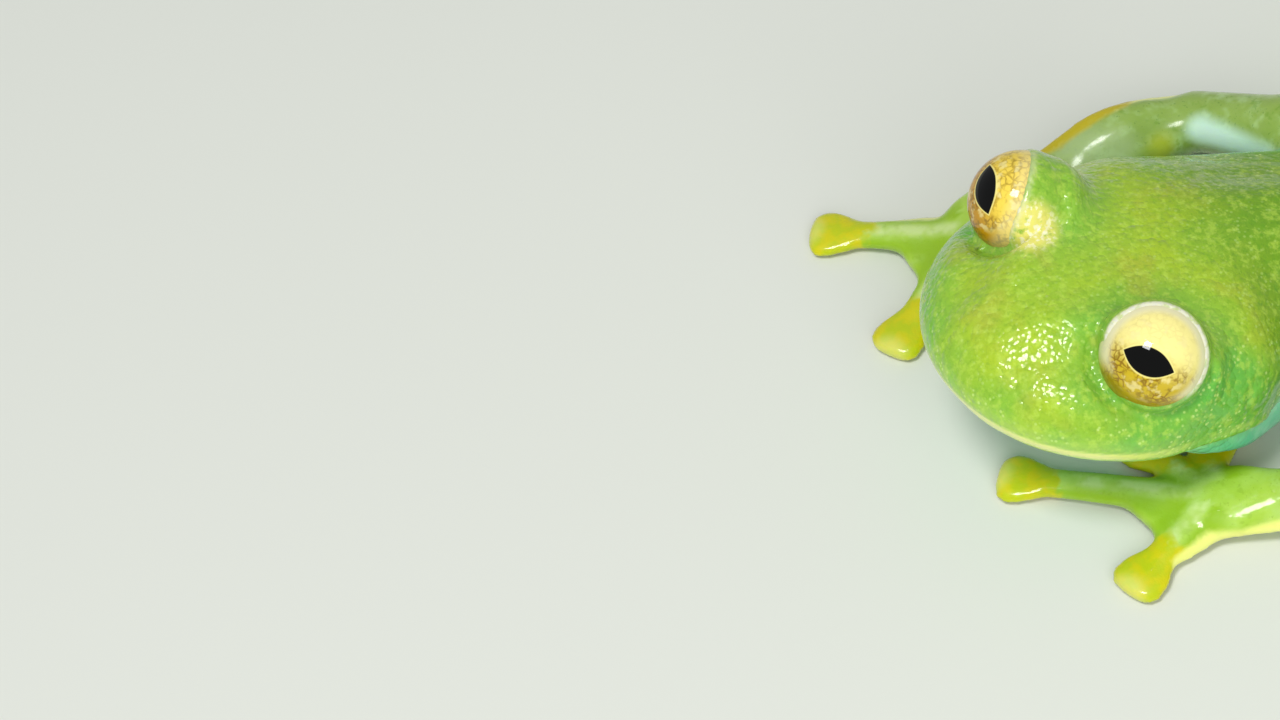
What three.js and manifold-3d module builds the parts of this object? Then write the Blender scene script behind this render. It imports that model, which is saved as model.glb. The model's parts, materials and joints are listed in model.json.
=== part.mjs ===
// Glass frog at rest, a still life-size model of the whole animal.
// Millimetres, +Z up. The frog faces -Y, its left side is +X, and it rests on the floor z = 0.
// Its head is turned a little to its left and lifted, its hands are spread, its legs are folded.
import * as THREE from "three";
import { mergeVertices } from "three/addons/utils/BufferGeometryUtils.js";
import Module from "manifold-3d";

// Driving sizes of the body
const BODY_LENGTH = 27;
const HEAD_HALF_WIDTH = 5.06;
const SNOUT_LENGTH = 5.7;
const SNOUT_ROUNDNESS = 2.07;
const HEAD_PITCH = 13;
const HEAD_TURN = 11;
const TRUNK_TURN = 34;
const HEAD_CENTRE = [-0.75, -8.7, 3.38];
const TRUNK_LENGTH = BODY_LENGTH - SNOUT_LENGTH;
const NECK_CUT = 3.5;
const VENT_ROUNDING = 2.4;
const BACK_FULLNESS = 2.5;

// Half width, height above and depth below the widest line, by distance behind the head's centre
const HALF_WIDTHS = [[0, HEAD_HALF_WIDTH], [1.8, 4.95], [3.6, 4.3], [6, 3.85], [8.5, 3.95],
  [11.5, 3.7], [14.5, 2.95], [17, 2.45], [19.5, 1.95], [TRUNK_LENGTH, 1.5]];
const BACK_HEIGHTS = [[0, 2.7], [3.6, 2.72], [6, 2.65], [8.5, 2.7], [11.5, 2.6], [14.5, 2.4],
  [17, 2.15], [19.5, 1.6], [TRUNK_LENGTH, 1.2]];
const BELLY_DEPTHS = [[-SNOUT_LENGTH, 1.35], [-1.5, 1.7], [0.6, 2.3], [3.4, 2.45], [6, 2.15],
  [8.5, 2.1], [11.5, 2.16], [14.5, 1.95], [17, 1.65], [19.5, 1.35], [TRUNK_LENGTH, 1.1]];

// How square the belly side is, from the chin back: 2 is round
const BELLY_FULLNESS = [[-SNOUT_LENGTH, 2.05], [-1.5, 2.2], [0.6, 3.4], [3.4, 3.7], [7, 2.7],
  [TRUNK_LENGTH, 2.3]];

// Angles up and down a cross section at which the surface has its corners
const LEVELS = [-75, -60, -46, -33, -22, -13, -8.5, -4, 3, 9, 17, 27, 38, 50, 62, 76];

// Mouth line under the lip, which fades out behind the corner of the jaw
const MOUTH_LEVEL = -8.5;
const LIP_LEVELS = [-4, 3, 9];
const MOUTH_DEPTH = 0.3;
const LIP_BULGE = 0.1;
const JAW_CORNER = 2.0;
const JAW_FADE = 0.8;

// Where the turn and the lift of the head begin and end along the neck
const TURN_SPAN = [0.5, 6.5];
const PITCH_SPAN = [1, 14];
const SPINE_STEP = 0.1;

// Facets around the snout and along the trunk, closer together towards the head
const SNOUT_FACETS = 24;
const TRUNK_STATIONS = 24;
const STATION_CROWDING = 0.13;
const VENT_TIP = 0.12;

// Eyes, set as far out, up and forward as the photo shows
const EYE_RADIUS = 1.5;
const EYE_HALF_SPACING = 3.18;
const EYE_FORWARD = 1.38;
const EYE_HEIGHT = 2.06;
const EYE_AXIS_RISE = 35;
const EYE_AXIS_SPREAD = 39;
const SOCKET_GAP = 0.25;
const ORBIT_RADIUS = 1.9;
const ORBIT_RIM = 0.25;
const LID_RADIUS = 0.22;
const LID_LIFT = 0.3;

// Nostrils and ear discs
const NOSTRIL_RADIUS = 0.16;
const NOSTRIL_SPREAD = 0.85;
const NOSTRIL_FORWARD = 4.7;
const NOSTRIL_HEIGHT = 1.36;
const EAR_RADIUS = 0.5;
const EAR_OUT = 4.7;
const EAR_BACK = 1.2;
const EAR_HEIGHT = 0.75;

// Limbs
const JOINT_GAP = 0.3;
const FINGER = { width: 1.02, disc: 1.82 };
const TOE = { width: 0.82, disc: 1.5 };
const DIGIT_SIDES = 8;
const DIGIT_THICKNESS = 0.62;
const DISC_LENGTH = 1.6;
const DISC_THICKNESS = 0.56;
const PRESSED_IN = 0.1;
const KNEE_SPREAD = 0.4;
const ANKLE_SPREAD = 0.25;

// Width of a disc along its length, as shares of its full length and width
const DISC_SHAPE = [[0.25, 0.78], [0.5, 0.98], [0.76, 1], [0.95, 0.76]];

// Webs between neighbouring digits, inner one first, and how far out each reaches
const WEB_THICKNESS = 0.5;
const WEB_HEIGHT = 0.12;
const WEB_HOLLOW = 0.6;
const FINGER_WEBS = [0, 0.45, 0.6];
const TOE_WEBS = [0.5, 0.62, 0.62, 0.62];

// Where each limb lies, as [out from the middle, y, z] on its own side
const LIMBS = {
  left: {
    side: 1,
    shoulder: [4.0, -4.2, 2.0],
    elbow: [8.3, -5.6, 1.4],
    wrist: [5.25, -8.95, 0.8],
    palm: [4.0, -10.1, 0.6],
    fingers: [[1.9, -8.1], [0.5, -9.9], [-1.3, -13.4], [4.2, -13.8]],
    hip: [1.7, 10.2, 2.2],
    knee: [10.0, 1.1, 2.5],
    ankle: [5.3, 13.4, 1.05],
    heel: [9.4, 9.4, 0.66],
    footTurn: 18,
  },
  right: {
    side: -1,
    shoulder: [2.2, 0.1, 2.3],
    elbow: [5.7, -1.1, 1.25],
    wrist: [8.0, -6.6, 0.8],
    palm: [7.8, -8.1, 0.6],
    fingers: [[5.4, -8.7], [4.6, -11.2], [6.68, -12.5], [11.7, -10.95]],
    hip: [1.7, 10.2, 2.2],
    knee: [10.5, 2.0, 2.5],
    ankle: [5.4, 13.8, 1.05],
    heel: [9.3, 10.2, 0.66],
    footTurn: 26,
  },
};

// The legs are laid out beside a straight trunk and turn with it about this point
const TRUNK_PIVOT = [0, -6];

// Toes from the inner one out: turned from the foot's own line, and length from the heel
const TOES = [[-36, 5.2], [-23, 6.6], [-11, 8.4], [0, 10.6], [14, 8.7]];

// Limb radii along their length, from 0 at the body's end to 1
const UPPER_ARM = [[0, 1.1], [0.5, 1.0], [1, 0.9]];
const FOREARM = [[0, 0.9], [0.3, 1.03], [1, 0.8]];
const FOREARM_HEIGHTS = [[0, 0.85], [0.3, 0.88], [1, 0.62]];
const PALM_WIDTHS = [[0, 0.8], [0.5, 1.15], [1, 1.1]];
const PALM_HEIGHTS = [[0, 0.6], [0.5, 0.52], [1, 0.45]];
const THIGH = [[0, 1.15], [0.4, 1.3], [0.8, 1.05], [1, 0.92]];
const SHANK = [[0, 0.86], [0.35, 0.98], [0.8, 0.74], [1, 0.68]];
const TARSUS = [[0, 0.66], [0.5, 0.58], [1, 0.62]];
const SOLE_WIDTHS = [[0, 0.64], [1, 0.8]];
const SOLE_HEIGHTS = [[0, 0.6], [1, 0.42]];

// A block this large cuts off all of the frog on one side of a plane
const CUTTER_SIZE = 80;
const UP = new THREE.Vector3(0, 0, 1);

// Colours of the wet translucent skin and the golden eye
const SKIN_COLOUR = 0x95b83b;
const LIMB_COLOUR = 0xa9cc5e;
const DIGIT_COLOUR = 0xbfcc1e;
const EYE_COLOUR = 0xd9c65a;

// The group is turned so that head and trunk lie evenly about -Y, with its footprint's middle
// over the origin
const FROG_TURN = 22;
const FOOTPRINT_MIDDLE = [3.785, 0.46];

const wasm = await Module();
wasm.setup();

const radians = THREE.MathUtils.degToRad;
const vector = (point) => new THREE.Vector3(...point);

// Smooth value at one place, through knots of [place, value]
function along(knots, place) {
  const last = knots.length - 1;
  const slope = (i) => {
    const before = knots[Math.max(i - 1, 0)];
    const after = knots[Math.min(i + 1, last)];
    return (after[1] - before[1]) / (after[0] - before[0]);
  };
  if (place <= knots[0][0]) return knots[0][1];
  if (place >= knots[last][0]) return knots[last][1];
  const i = knots.findIndex((knot) => knot[0] > place) - 1;
  const span = knots[i + 1][0] - knots[i][0];
  const t = (place - knots[i][0]) / span;
  const rise = knots[i + 1][1] - knots[i][1];
  const curve = (slope(i) * span - rise) * (1 - t) - (slope(i + 1) * span - rise) * t;
  return knots[i][1] + rise * t + t * (1 - t) * curve;
}

// A closed body from rings of equal length between a first and a last point
function loft(first, rings, last) {
  const count = rings[0].length;
  const points = [first, ...rings.flat(), last];
  const faces = [];
  for (let k = 0; k < count; k += 1) {
    const next = (k + 1) % count;
    faces.push([0, 1 + next, 1 + k]);
    for (let r = 0; r < rings.length - 1; r += 1) {
      const here = 1 + r * count;
      const there = here + count;
      faces.push([here + k, here + next, there + next], [here + k, there + next, there + k]);
    }
    const end = 1 + (rings.length - 1) * count;
    faces.push([end + k, end + next, points.length - 1]);
  }
  return surface(points, faces);
}

// A geometry from points and triangles, turned so that its faces point out
function surface(points, faces) {
  let volume = 0;
  for (const [a, b, c] of faces) {
    volume += points[a].dot(new THREE.Vector3().crossVectors(points[b], points[c]));
  }
  const index = volume > 0 ? faces.flat() : faces.flatMap(([a, b, c]) => [a, c, b]);
  const geometry = new THREE.BufferGeometry();
  const places = new Float32Array(points.flatMap((point) => point.toArray()));
  geometry.setAttribute("position", new THREE.BufferAttribute(places, 3));
  geometry.setIndex(index);
  return geometry;
}

// A closed geometry as a solid that can be joined and cut
function solid(geometry, placing = new THREE.Matrix4()) {
  const bare = geometry.clone().applyMatrix4(placing);
  bare.deleteAttribute("normal");
  bare.deleteAttribute("uv");
  const merged = mergeVertices(bare, 1e-5);
  const mesh = new wasm.Mesh({
    numProp: 3,
    vertProperties: new Float32Array(merged.attributes.position.array),
    triVerts: new Uint32Array(merged.index.array),
  });
  mesh.merge();
  return new wasm.Manifold(mesh);
}

// The largest closed piece of a solid, as a geometry
function shell(body) {
  const pieces = body.decompose();
  pieces.sort((a, b) => b.volume() - a.volume());
  const mesh = pieces[0].getMesh();
  const geometry = new THREE.BufferGeometry();
  geometry.setAttribute("position", new THREE.BufferAttribute(mesh.vertProperties.slice(), 3));
  geometry.setIndex(Array.from(mesh.triVerts));
  return geometry;
}

const join = (bodies) => bodies.reduce((whole, body) => whole.add(body));

function ball(centre, radius, { stretch = [1, 1, 1], detail = 20 } = {}) {
  const round = new THREE.SphereGeometry(radius, detail, Math.round(detail * 0.6));
  const placing = new THREE.Matrix4().compose(centre, new THREE.Quaternion(), vector(stretch));
  return solid(round, placing);
}

function block(centre, size, turn = new THREE.Quaternion()) {
  const placing = new THREE.Matrix4().compose(centre, turn, new THREE.Vector3(1, 1, 1));
  return solid(new THREE.BoxGeometry(...size), placing);
}

// Head and trunk: a middle line with a turning frame, from the head's centre to the vent
function turnAt(place) {
  return radians(THREE.MathUtils.lerp(HEAD_TURN, TRUNK_TURN,
    THREE.MathUtils.smoothstep(place, ...TURN_SPAN)));
}

function pitchAt(place) {
  return radians(HEAD_PITCH) * (1 - THREE.MathUtils.smoothstep(place, ...PITCH_SPAN));
}

function frameAt(place) {
  const turn = turnAt(place);
  const pitch = pitchAt(place);
  const left = new THREE.Vector3(Math.cos(turn), -Math.sin(turn), 0);
  const flatBack = new THREE.Vector3(Math.sin(turn), Math.cos(turn), 0);
  const back = flatBack.multiplyScalar(Math.cos(pitch)).setZ(-Math.sin(pitch));
  const up = new THREE.Vector3().crossVectors(left, back);
  return { left, back, up };
}

function middleAt(place) {
  const middle = vector(HEAD_CENTRE);
  for (let s = 0; s < place - 1e-9; s += SPINE_STEP) {
    const step = Math.min(SPINE_STEP, place - s);
    middle.addScaledVector(frameAt(s + step / 2).back, step);
  }
  return middle;
}

// A point given by distances to the left, back and up from the head's centre
function onHead(left, back, up) {
  const frame = frameAt(0);
  return vector(HEAD_CENTRE)
    .addScaledVector(frame.left, left)
    .addScaledVector(frame.back, back)
    .addScaledVector(frame.up, up);
}

// Half of a cross section from the belly's middle to the back's, as reach, height and lip change
function sectionAt(place) {
  return LEVELS.map((level) => {
    const angle = radians(level);
    const power = 2 / (level < 0 ? along(BELLY_FULLNESS, place) : BACK_FULLNESS);
    const reach = Math.cos(angle) ** power;
    const height = Math.sign(angle) * Math.abs(Math.sin(angle)) ** power;
    const groove = level === MOUTH_LEVEL ? -MOUTH_DEPTH : 0;
    const bulge = LIP_LEVELS.includes(level) ? LIP_BULGE : 0;
    return { reach, height, lip: groove + bulge };
  });
}

// Head and trunk in one closed surface, grown all round where a neighbour needs a gap
function wholeBody(grow = 0) {
  const points = [];
  const faces = [];
  const add = (point) => points.push(point) - 1;
  const pole = (place, height) =>
    add(middleAt(place).addScaledVector(frameAt(place).up, height));
  const low = pole(0, -along(BELLY_DEPTHS, 0) - grow);
  const high = pole(0, BACK_HEIGHTS[0][1] + grow);
  const cap = [];
  for (let m = 0; m <= SNOUT_FACETS; m += 1) {
    const angle = Math.PI * m / SNOUT_FACETS;
    const aside = Math.sign(Math.cos(angle)) * Math.abs(Math.cos(angle)) ** (2 / SNOUT_ROUNDNESS);
    const ahead = Math.sin(angle) ** (2 / SNOUT_ROUNDNESS);
    const place = -ahead * SNOUT_LENGTH;
    cap.push(sectionAt(place).map(({ reach, height, lip }) => {
      const up = (height > 0 ? BACK_HEIGHTS[0][1] : along(BELLY_DEPTHS, place)) + grow;
      const wide = (HEAD_HALF_WIDTH + grow) * reach + lip;
      const long = (SNOUT_LENGTH + grow) * reach + lip;
      return add(onHead(aside * wide, -ahead * long, height * up));
    }));
  }
  for (let m = 0; m < SNOUT_FACETS; m += 1) {
    const [here, next] = [cap[m], cap[m + 1]];
    faces.push([low, next[0], here[0]], [high, here[here.length - 1], next[next.length - 1]]);
    for (let j = 0; j < here.length - 1; j += 1) {
      faces.push([here[j], next[j], next[j + 1]], [here[j], next[j + 1], here[j + 1]]);
    }
  }
  let ring = [low, ...cap[0], high, ...[...cap[SNOUT_FACETS]].reverse()];
  for (let i = 1; i <= TRUNK_STATIONS; i += 1) {
    const t = i / TRUNK_STATIONS;
    const crowding = STATION_CROWDING * Math.sin(Math.PI * t) * t;
    const place = (TRUNK_LENGTH - VENT_TIP) * (t + crowding);
    const toEnd = Math.min((TRUNK_LENGTH - place) / VENT_ROUNDING, 1);
    const rounding = Math.sqrt(1 - (1 - toEnd) ** 2);
    const width = along(HALF_WIDTHS, place) * rounding + grow;
    const above = along(BACK_HEIGHTS, place) * rounding + grow;
    const below = along(BELLY_DEPTHS, place) * rounding + grow;
    const fade = 1 - THREE.MathUtils.smoothstep(place, JAW_CORNER - JAW_FADE, JAW_CORNER + JAW_FADE);
    const middle = middleAt(place);
    const frame = frameAt(place);
    const put = (side, { reach, height, lip }) => add(middle.clone()
      .addScaledVector(frame.left, side * (width * reach + lip * fade))
      .addScaledVector(frame.up, height * (height > 0 ? above : below)));
    const half = sectionAt(place);
    const next = [pole(place, -below), ...half.map((corner) => put(1, corner)),
      pole(place, above), ...half.reverse().map((corner) => put(-1, corner))];
    ring.forEach((corner, k) => {
      const beside = (k + 1) % ring.length;
      faces.push([corner, ring[beside], next[beside]], [corner, next[beside], next[k]]);
    });
    ring = next;
  }
  const end = add(middleAt(TRUNK_LENGTH + grow));
  ring.forEach((corner, k) => faces.push([corner, ring[(k + 1) % ring.length], end]));
  return solid(surface(points, faces));
}

// A limb along a line, round or flattened, with a round end past each of its last points
function limb(line, widths, { heights = widths, sides = 12, steps = 6, grow = 0 } = {}) {
  const path = new THREE.CatmullRomCurve3(line.map((point) => vector(point)));
  const length = path.getLength();
  const startReach = (along(widths, 0) + grow) / length;
  const endReach = (along(widths, 1) + grow) / length;
  const rings = [];
  const ring = (place, t, shrink) => rings.push(tubeRing(path, place,
    (along(widths, t) + grow) * shrink, (along(heights, t) + grow) * shrink, sides));
  for (const angle of [25, 58]) {
    ring(-startReach * Math.cos(radians(angle)), 0, Math.sin(radians(angle)));
  }
  for (let i = 0; i <= steps; i += 1) ring(i / steps, i / steps, 1);
  for (const angle of [58, 25]) {
    ring(1 + endReach * Math.cos(radians(angle)), 1, Math.sin(radians(angle)));
  }
  return solid(loft(pointBeyond(path, -startReach), rings, pointBeyond(path, 1 + endReach)));
}

// A point on a curve, or past either end of it in a straight line
function pointBeyond(path, place) {
  const inside = THREE.MathUtils.clamp(place, 0, 1);
  const past = (place - inside) * path.getLength();
  return path.getPointAt(inside).addScaledVector(path.getTangentAt(inside), past);
}

function tubeRing(path, place, halfWidth, halfHeight, sides) {
  const centre = pointBeyond(path, place);
  const heading = path.getTangentAt(THREE.MathUtils.clamp(place, 0, 1));
  const aside = new THREE.Vector3(heading.y, -heading.x, 0).normalize();
  const above = new THREE.Vector3().crossVectors(aside, heading);
  const ring = [];
  for (let k = 0; k < sides; k += 1) {
    const angle = 2 * Math.PI * k / sides;
    ring.push(centre.clone()
      .addScaledVector(aside, halfWidth * Math.cos(angle))
      .addScaledVector(above, halfHeight * Math.sin(angle)));
  }
  return ring;
}

// A finger or toe from the root to its tip, ending in a flat square-ended disc on the floor
function digit(root, tip, { width, disc }) {
  const start = vector(root);
  const end = new THREE.Vector3(tip[0], tip[1], DISC_THICKNESS / 2 - PRESSED_IN);
  const middle = start.clone().lerp(end, 0.55).setZ((start.z + end.z) / 2);
  const path = new THREE.QuadraticBezierCurve3(start, middle, end);
  const length = path.getLength();
  const neck = length - DISC_LENGTH;
  const rings = [0, 0.5, 1].map((t) => tubeRing(path, neck * t / length,
    width * (0.5 + 0.1 * (1 - t)), DIGIT_THICKNESS / 2, DIGIT_SIDES));
  for (const [t, share] of DISC_SHAPE) {
    const place = (neck + DISC_LENGTH * t) / length;
    const wide = disc / 2 * share;
    const thick = DISC_THICKNESS / 2 * Math.sqrt(share);
    rings.push(tubeRing(path, place, wide, thick, DIGIT_SIDES));
  }
  const behind = pointBeyond(path, -0.3 / length);
  return solid(loft(behind, rings, path.getPointAt(1)));
}

// Skin between neighbouring digits, as flat plates with a hollowed free edge
function webs(root, tips, reaches) {
  return reaches.flatMap((reach, k) => (reach > 0 ? [web(root, [tips[k], tips[k + 1]], reach)] : []));
}

function web(root, tips, reach) {
  const shape = new THREE.Shape();
  const corner = (tip) => [0, 1].map((k) => root[k] + (tip[k] - root[k]) * reach);
  const between = [0, 1].map((k) => (tips[0][k] + tips[1][k]) / 2);
  const hollow = [0, 1].map((k) => root[k] + (between[k] - root[k]) * reach * WEB_HOLLOW);
  shape.moveTo(root[0], root[1]);
  shape.lineTo(...corner(tips[0]));
  shape.quadraticCurveTo(...hollow, ...corner(tips[1]));
  shape.closePath();
  const plate = new THREE.ExtrudeGeometry(shape, {
    depth: WEB_THICKNESS,
    bevelEnabled: false,
    curveSegments: 3,
  });
  return solid(plate, new THREE.Matrix4().makeTranslation(0, 0, WEB_HEIGHT));
}

// Everything on one side of a joint, half the joint's gap away from it
function sideOf(point, normal, gap = JOINT_GAP) {
  const turn = new THREE.Quaternion().setFromUnitVectors(UP, normal);
  const centre = point.clone().addScaledVector(normal, gap / 2 + CUTTER_SIZE / 2);
  return block(centre, [CUTTER_SIZE, CUTTER_SIZE, CUTTER_SIZE], turn);
}

const onFloor = (body) => body.subtract(sideOf(new THREE.Vector3(), UP.clone().negate(), 0));

// The whole head with lids, sockets, nostrils and ear discs
function eyeCentre(side) {
  return onHead(side * EYE_HALF_SPACING, -EYE_FORWARD, EYE_HEIGHT);
}

function eyeAxis(side) {
  const rise = radians(EYE_AXIS_RISE);
  const spread = radians(EYE_AXIS_SPREAD);
  const frame = frameAt(0);
  return new THREE.Vector3()
    .addScaledVector(frame.left, side * Math.cos(rise) * Math.sin(spread))
    .addScaledVector(frame.back, -Math.cos(rise) * Math.cos(spread))
    .addScaledVector(frame.up, Math.sin(rise));
}

function orbit(side) {
  const axis = eyeAxis(side);
  const rim = eyeCentre(side).addScaledVector(axis, ORBIT_RIM);
  return ball(eyeCentre(side), ORBIT_RADIUS, { detail: 20 }).subtract(sideOf(rim, axis, 0));
}

// A lid as a round fold over half of the eye's rim, from corner to corner
function lidFold(side, lift, radius, upper) {
  const axis = eyeAxis(side);
  const level = new THREE.Vector3().crossVectors(axis, frameAt(0).up).normalize();
  const over = new THREE.Vector3().crossVectors(level, axis).normalize();
  const reach = EYE_RADIUS + SOCKET_GAP + radius * 0.6;
  const line = [];
  for (let k = 0; k <= 6; k += 1) {
    const angle = radians(180 * k / 6) * (upper ? 1 : -1);
    line.push(eyeCentre(side)
      .addScaledVector(level, reach * Math.cos(angle))
      .addScaledVector(over, reach * Math.sin(angle))
      .addScaledVector(axis, lift * Math.abs(Math.sin(angle)) + 0.05).toArray());
  }
  return limb(line, [[0, radius], [1, radius]], { sides: 6, steps: 8 });
}

function head(body) {
  const parts = [body];
  const holes = [];
  const { left, up } = frameAt(0);
  for (const side of [1, -1]) {
    parts.push(orbit(side));
    parts.push(lidFold(side, LID_LIFT, LID_RADIUS, true));
    parts.push(lidFold(side, LID_LIFT * 0.5, LID_RADIUS * 0.9, false));
    holes.push(ball(eyeCentre(side), EYE_RADIUS + SOCKET_GAP, { detail: 18 }));
    const nostril = onHead(side * NOSTRIL_SPREAD, -NOSTRIL_FORWARD, NOSTRIL_HEIGHT);
    parts.push(ball(nostril, NOSTRIL_RADIUS * 2, { detail: 10 }));
    nostril.addScaledVector(up, NOSTRIL_RADIUS * 1.5);
    nostril.addScaledVector(left, side * NOSTRIL_RADIUS * 1.2);
    holes.push(ball(nostril, NOSTRIL_RADIUS, { detail: 8 }));
    parts.push(ball(onHead(side * EAR_OUT, EAR_BACK, EAR_HEIGHT), EAR_RADIUS,
      { stretch: [0.5, 1, 1], detail: 12 }));
  }
  return holes.reduce((whole, hole) => whole.subtract(hole), join(parts));
}

// The arm in three pieces, parted across the elbow and the wrist
function arm(place, to, grownBody) {
  const shoulder = vector(to(place.shoulder));
  const elbow = vector(to(place.elbow));
  const wrist = vector(to(place.wrist));
  const palm = vector(to(place.palm));
  const tips = place.fingers.map(to);
  const elbowCut = bisector(shoulder, elbow, wrist);
  const wristCut = bisector(elbow, wrist, palm);
  const knuckles = palm.clone().addScaledVector(palm.clone().sub(wrist).normalize(), 0.1);
  const hand = [limb([wrist, palm, knuckles].map((point) => point.toArray()), PALM_WIDTHS,
    { heights: PALM_HEIGHTS, steps: 4 })];
  for (const tip of tips) hand.push(digit(palm.toArray(), tip, FINGER));
  hand.push(...webs(palm.toArray(), tips, FINGER_WEBS));
  return {
    upper_arm: limb([shoulder.toArray(), elbow.toArray()], UPPER_ARM, { steps: 5 })
      .subtract(grownBody)
      .intersect(sideOf(elbow, elbowCut)),
    forearm: limb([elbow.toArray(), wrist.toArray()], FOREARM, { heights: FOREARM_HEIGHTS })
      .intersect(sideOf(elbow, elbowCut.clone().negate()))
      .intersect(sideOf(wrist, wristCut)),
    hand: join(hand).intersect(sideOf(wrist, wristCut.clone().negate())),
  };
}

// The direction that points from a joint to the side of the piece before it
function bisector(before, joint, after) {
  const inward = before.clone().sub(joint).normalize();
  const outward = after.clone().sub(joint).normalize();
  return inward.sub(outward).normalize();
}

// A leg that lies beside a straight trunk, turned with the trunk
function withTrunk(body) {
  const [x, y] = TRUNK_PIVOT;
  return body.translate([-x, -y, 0]).rotate([0, 0, -TRUNK_TURN]).translate([x, y, 0]);
}

// The leg in four pieces, folded at the knee and ankle with the foot turned out on the floor
function leg(place, to) {
  const hip = vector(to(place.hip));
  const knee = vector(to(place.knee));
  const ankle = vector(to(place.ankle));
  const heel = vector(to(place.heel));
  const kneeCut = bisector(hip, knee, ankle);
  const ankleCut = bisector(knee, ankle, heel);
  const thighEnd = knee.clone().addScaledVector(kneeCut, KNEE_SPREAD);
  const shankStart = knee.clone().addScaledVector(kneeCut, -KNEE_SPREAD);
  const shankEnd = ankle.clone().addScaledVector(ankleCut, ANKLE_SPREAD);
  const tarsusStart = ankle.clone().addScaledVector(ankleCut, -ANKLE_SPREAD);
  const tips = TOES.map(([turn, length]) => {
    const heading = radians(place.footTurn + turn);
    const out = heel.x + place.side * length * Math.sin(heading);
    return [out, heel.y - length * Math.cos(heading)];
  });
  const longest = vector([...tips[3], heel.z]);
  const heelCut = bisector(ankle, heel, longest);
  const foot = [limb([heel.toArray(), heel.clone().lerp(longest, 0.12).toArray()], SOLE_WIDTHS,
    { heights: SOLE_HEIGHTS, steps: 2 })];
  for (const tip of tips) foot.push(digit(heel.toArray(), tip, TOE));
  foot.push(...webs(heel.toArray(), tips, TOE_WEBS));
  return {
    thigh: limb([hip.toArray(), thighEnd.toArray()], THIGH)
      .intersect(sideOf(knee, kneeCut)),
    shank: limb([shankStart.toArray(), shankEnd.toArray()], SHANK)
      .intersect(sideOf(knee, kneeCut.clone().negate()))
      .intersect(sideOf(ankle, ankleCut)),
    tarsus: limb([tarsusStart.toArray(), heel.toArray()], TARSUS)
      .intersect(sideOf(ankle, ankleCut.clone().negate()))
      .intersect(sideOf(heel, heelCut)),
    foot: join(foot).intersect(sideOf(heel, heelCut.clone().negate())),
  };
}

const whole = wholeBody();
const grownBody = wholeBody(JOINT_GAP);
const neck = middleAt(NECK_CUT);
const neckBack = frameAt(NECK_CUT).back;
const solids = {
  head: head(whole.intersect(sideOf(neck, neckBack.clone().negate()))),
  torso: onFloor(whole.intersect(sideOf(neck, neckBack))),
  eye_left: ball(eyeCentre(1), EYE_RADIUS, { detail: 24 }),
  eye_right: ball(eyeCentre(-1), EYE_RADIUS, { detail: 24 }),
};
for (const [name, place] of Object.entries(LIMBS)) {
  const to = ([out, ...rest]) => [place.side * out, ...rest];
  for (const [piece, body] of Object.entries(arm(place, to, grownBody))) {
    solids[`${piece}_${name}`] = onFloor(body);
  }
  for (const [piece, body] of Object.entries(leg(place, to))) {
    const turned = onFloor(withTrunk(body));
    solids[`${piece}_${name}`] = piece === "thigh" ? turned.subtract(grownBody) : turned;
  }
}

function colourOf(name) {
  if (name.startsWith("eye")) return EYE_COLOUR;
  if (name.startsWith("hand") || name.startsWith("foot")) return DIGIT_COLOUR;
  return name === "head" || name === "torso" ? SKIN_COLOUR : LIMB_COLOUR;
}

const frog = new THREE.Group();
frog.rotation.z = radians(FROG_TURN);
frog.position.set(-FOOTPRINT_MIDDLE[0], -FOOTPRINT_MIDDLE[1], 0);
for (const [name, body] of Object.entries(solids)) {
  const material = new THREE.MeshStandardMaterial({
    color: colourOf(name),
    roughness: name.startsWith("eye") ? 0.08 : 0.35,
    metalness: 0,
  });
  const mesh = new THREE.Mesh(shell(body), material);
  mesh.name = name;
  frog.add(mesh);
}

export default frog;
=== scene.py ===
"""Glass frog, life size, at rest on a pale studio floor: one wet skin, two golden eyes."""
import json
import math

import bpy
import numpy as np
from mathutils import Matrix, Quaternion, Vector
from mathutils.bvhtree import BVHTree
from mathutils.kdtree import KDTree

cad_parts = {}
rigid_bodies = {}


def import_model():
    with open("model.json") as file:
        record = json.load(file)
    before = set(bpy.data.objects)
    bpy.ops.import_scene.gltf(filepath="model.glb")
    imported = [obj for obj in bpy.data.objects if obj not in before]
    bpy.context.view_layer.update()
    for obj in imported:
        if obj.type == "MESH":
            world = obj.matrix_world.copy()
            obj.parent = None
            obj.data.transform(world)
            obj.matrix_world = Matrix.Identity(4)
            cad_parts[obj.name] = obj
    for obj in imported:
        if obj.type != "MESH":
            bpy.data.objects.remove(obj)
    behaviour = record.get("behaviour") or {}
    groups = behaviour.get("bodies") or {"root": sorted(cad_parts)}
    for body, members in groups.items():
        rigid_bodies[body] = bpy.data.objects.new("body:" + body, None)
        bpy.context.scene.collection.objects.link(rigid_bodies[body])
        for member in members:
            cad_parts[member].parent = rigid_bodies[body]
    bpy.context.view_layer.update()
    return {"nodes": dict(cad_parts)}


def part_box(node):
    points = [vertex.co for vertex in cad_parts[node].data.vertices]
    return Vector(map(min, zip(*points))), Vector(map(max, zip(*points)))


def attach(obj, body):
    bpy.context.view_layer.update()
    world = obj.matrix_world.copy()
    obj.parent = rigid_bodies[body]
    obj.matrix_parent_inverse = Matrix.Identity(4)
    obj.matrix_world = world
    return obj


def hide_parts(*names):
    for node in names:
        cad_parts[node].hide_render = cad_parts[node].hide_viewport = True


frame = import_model()

# The frog is modelled at one Blender unit to the millimetre and brought down to metres at the end
MM = 0.001

# Where the group of the solids stands: turned about Z, then moved
FROG_TURN = 22
FROG_MOVE = (-3.785, -0.46)

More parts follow.
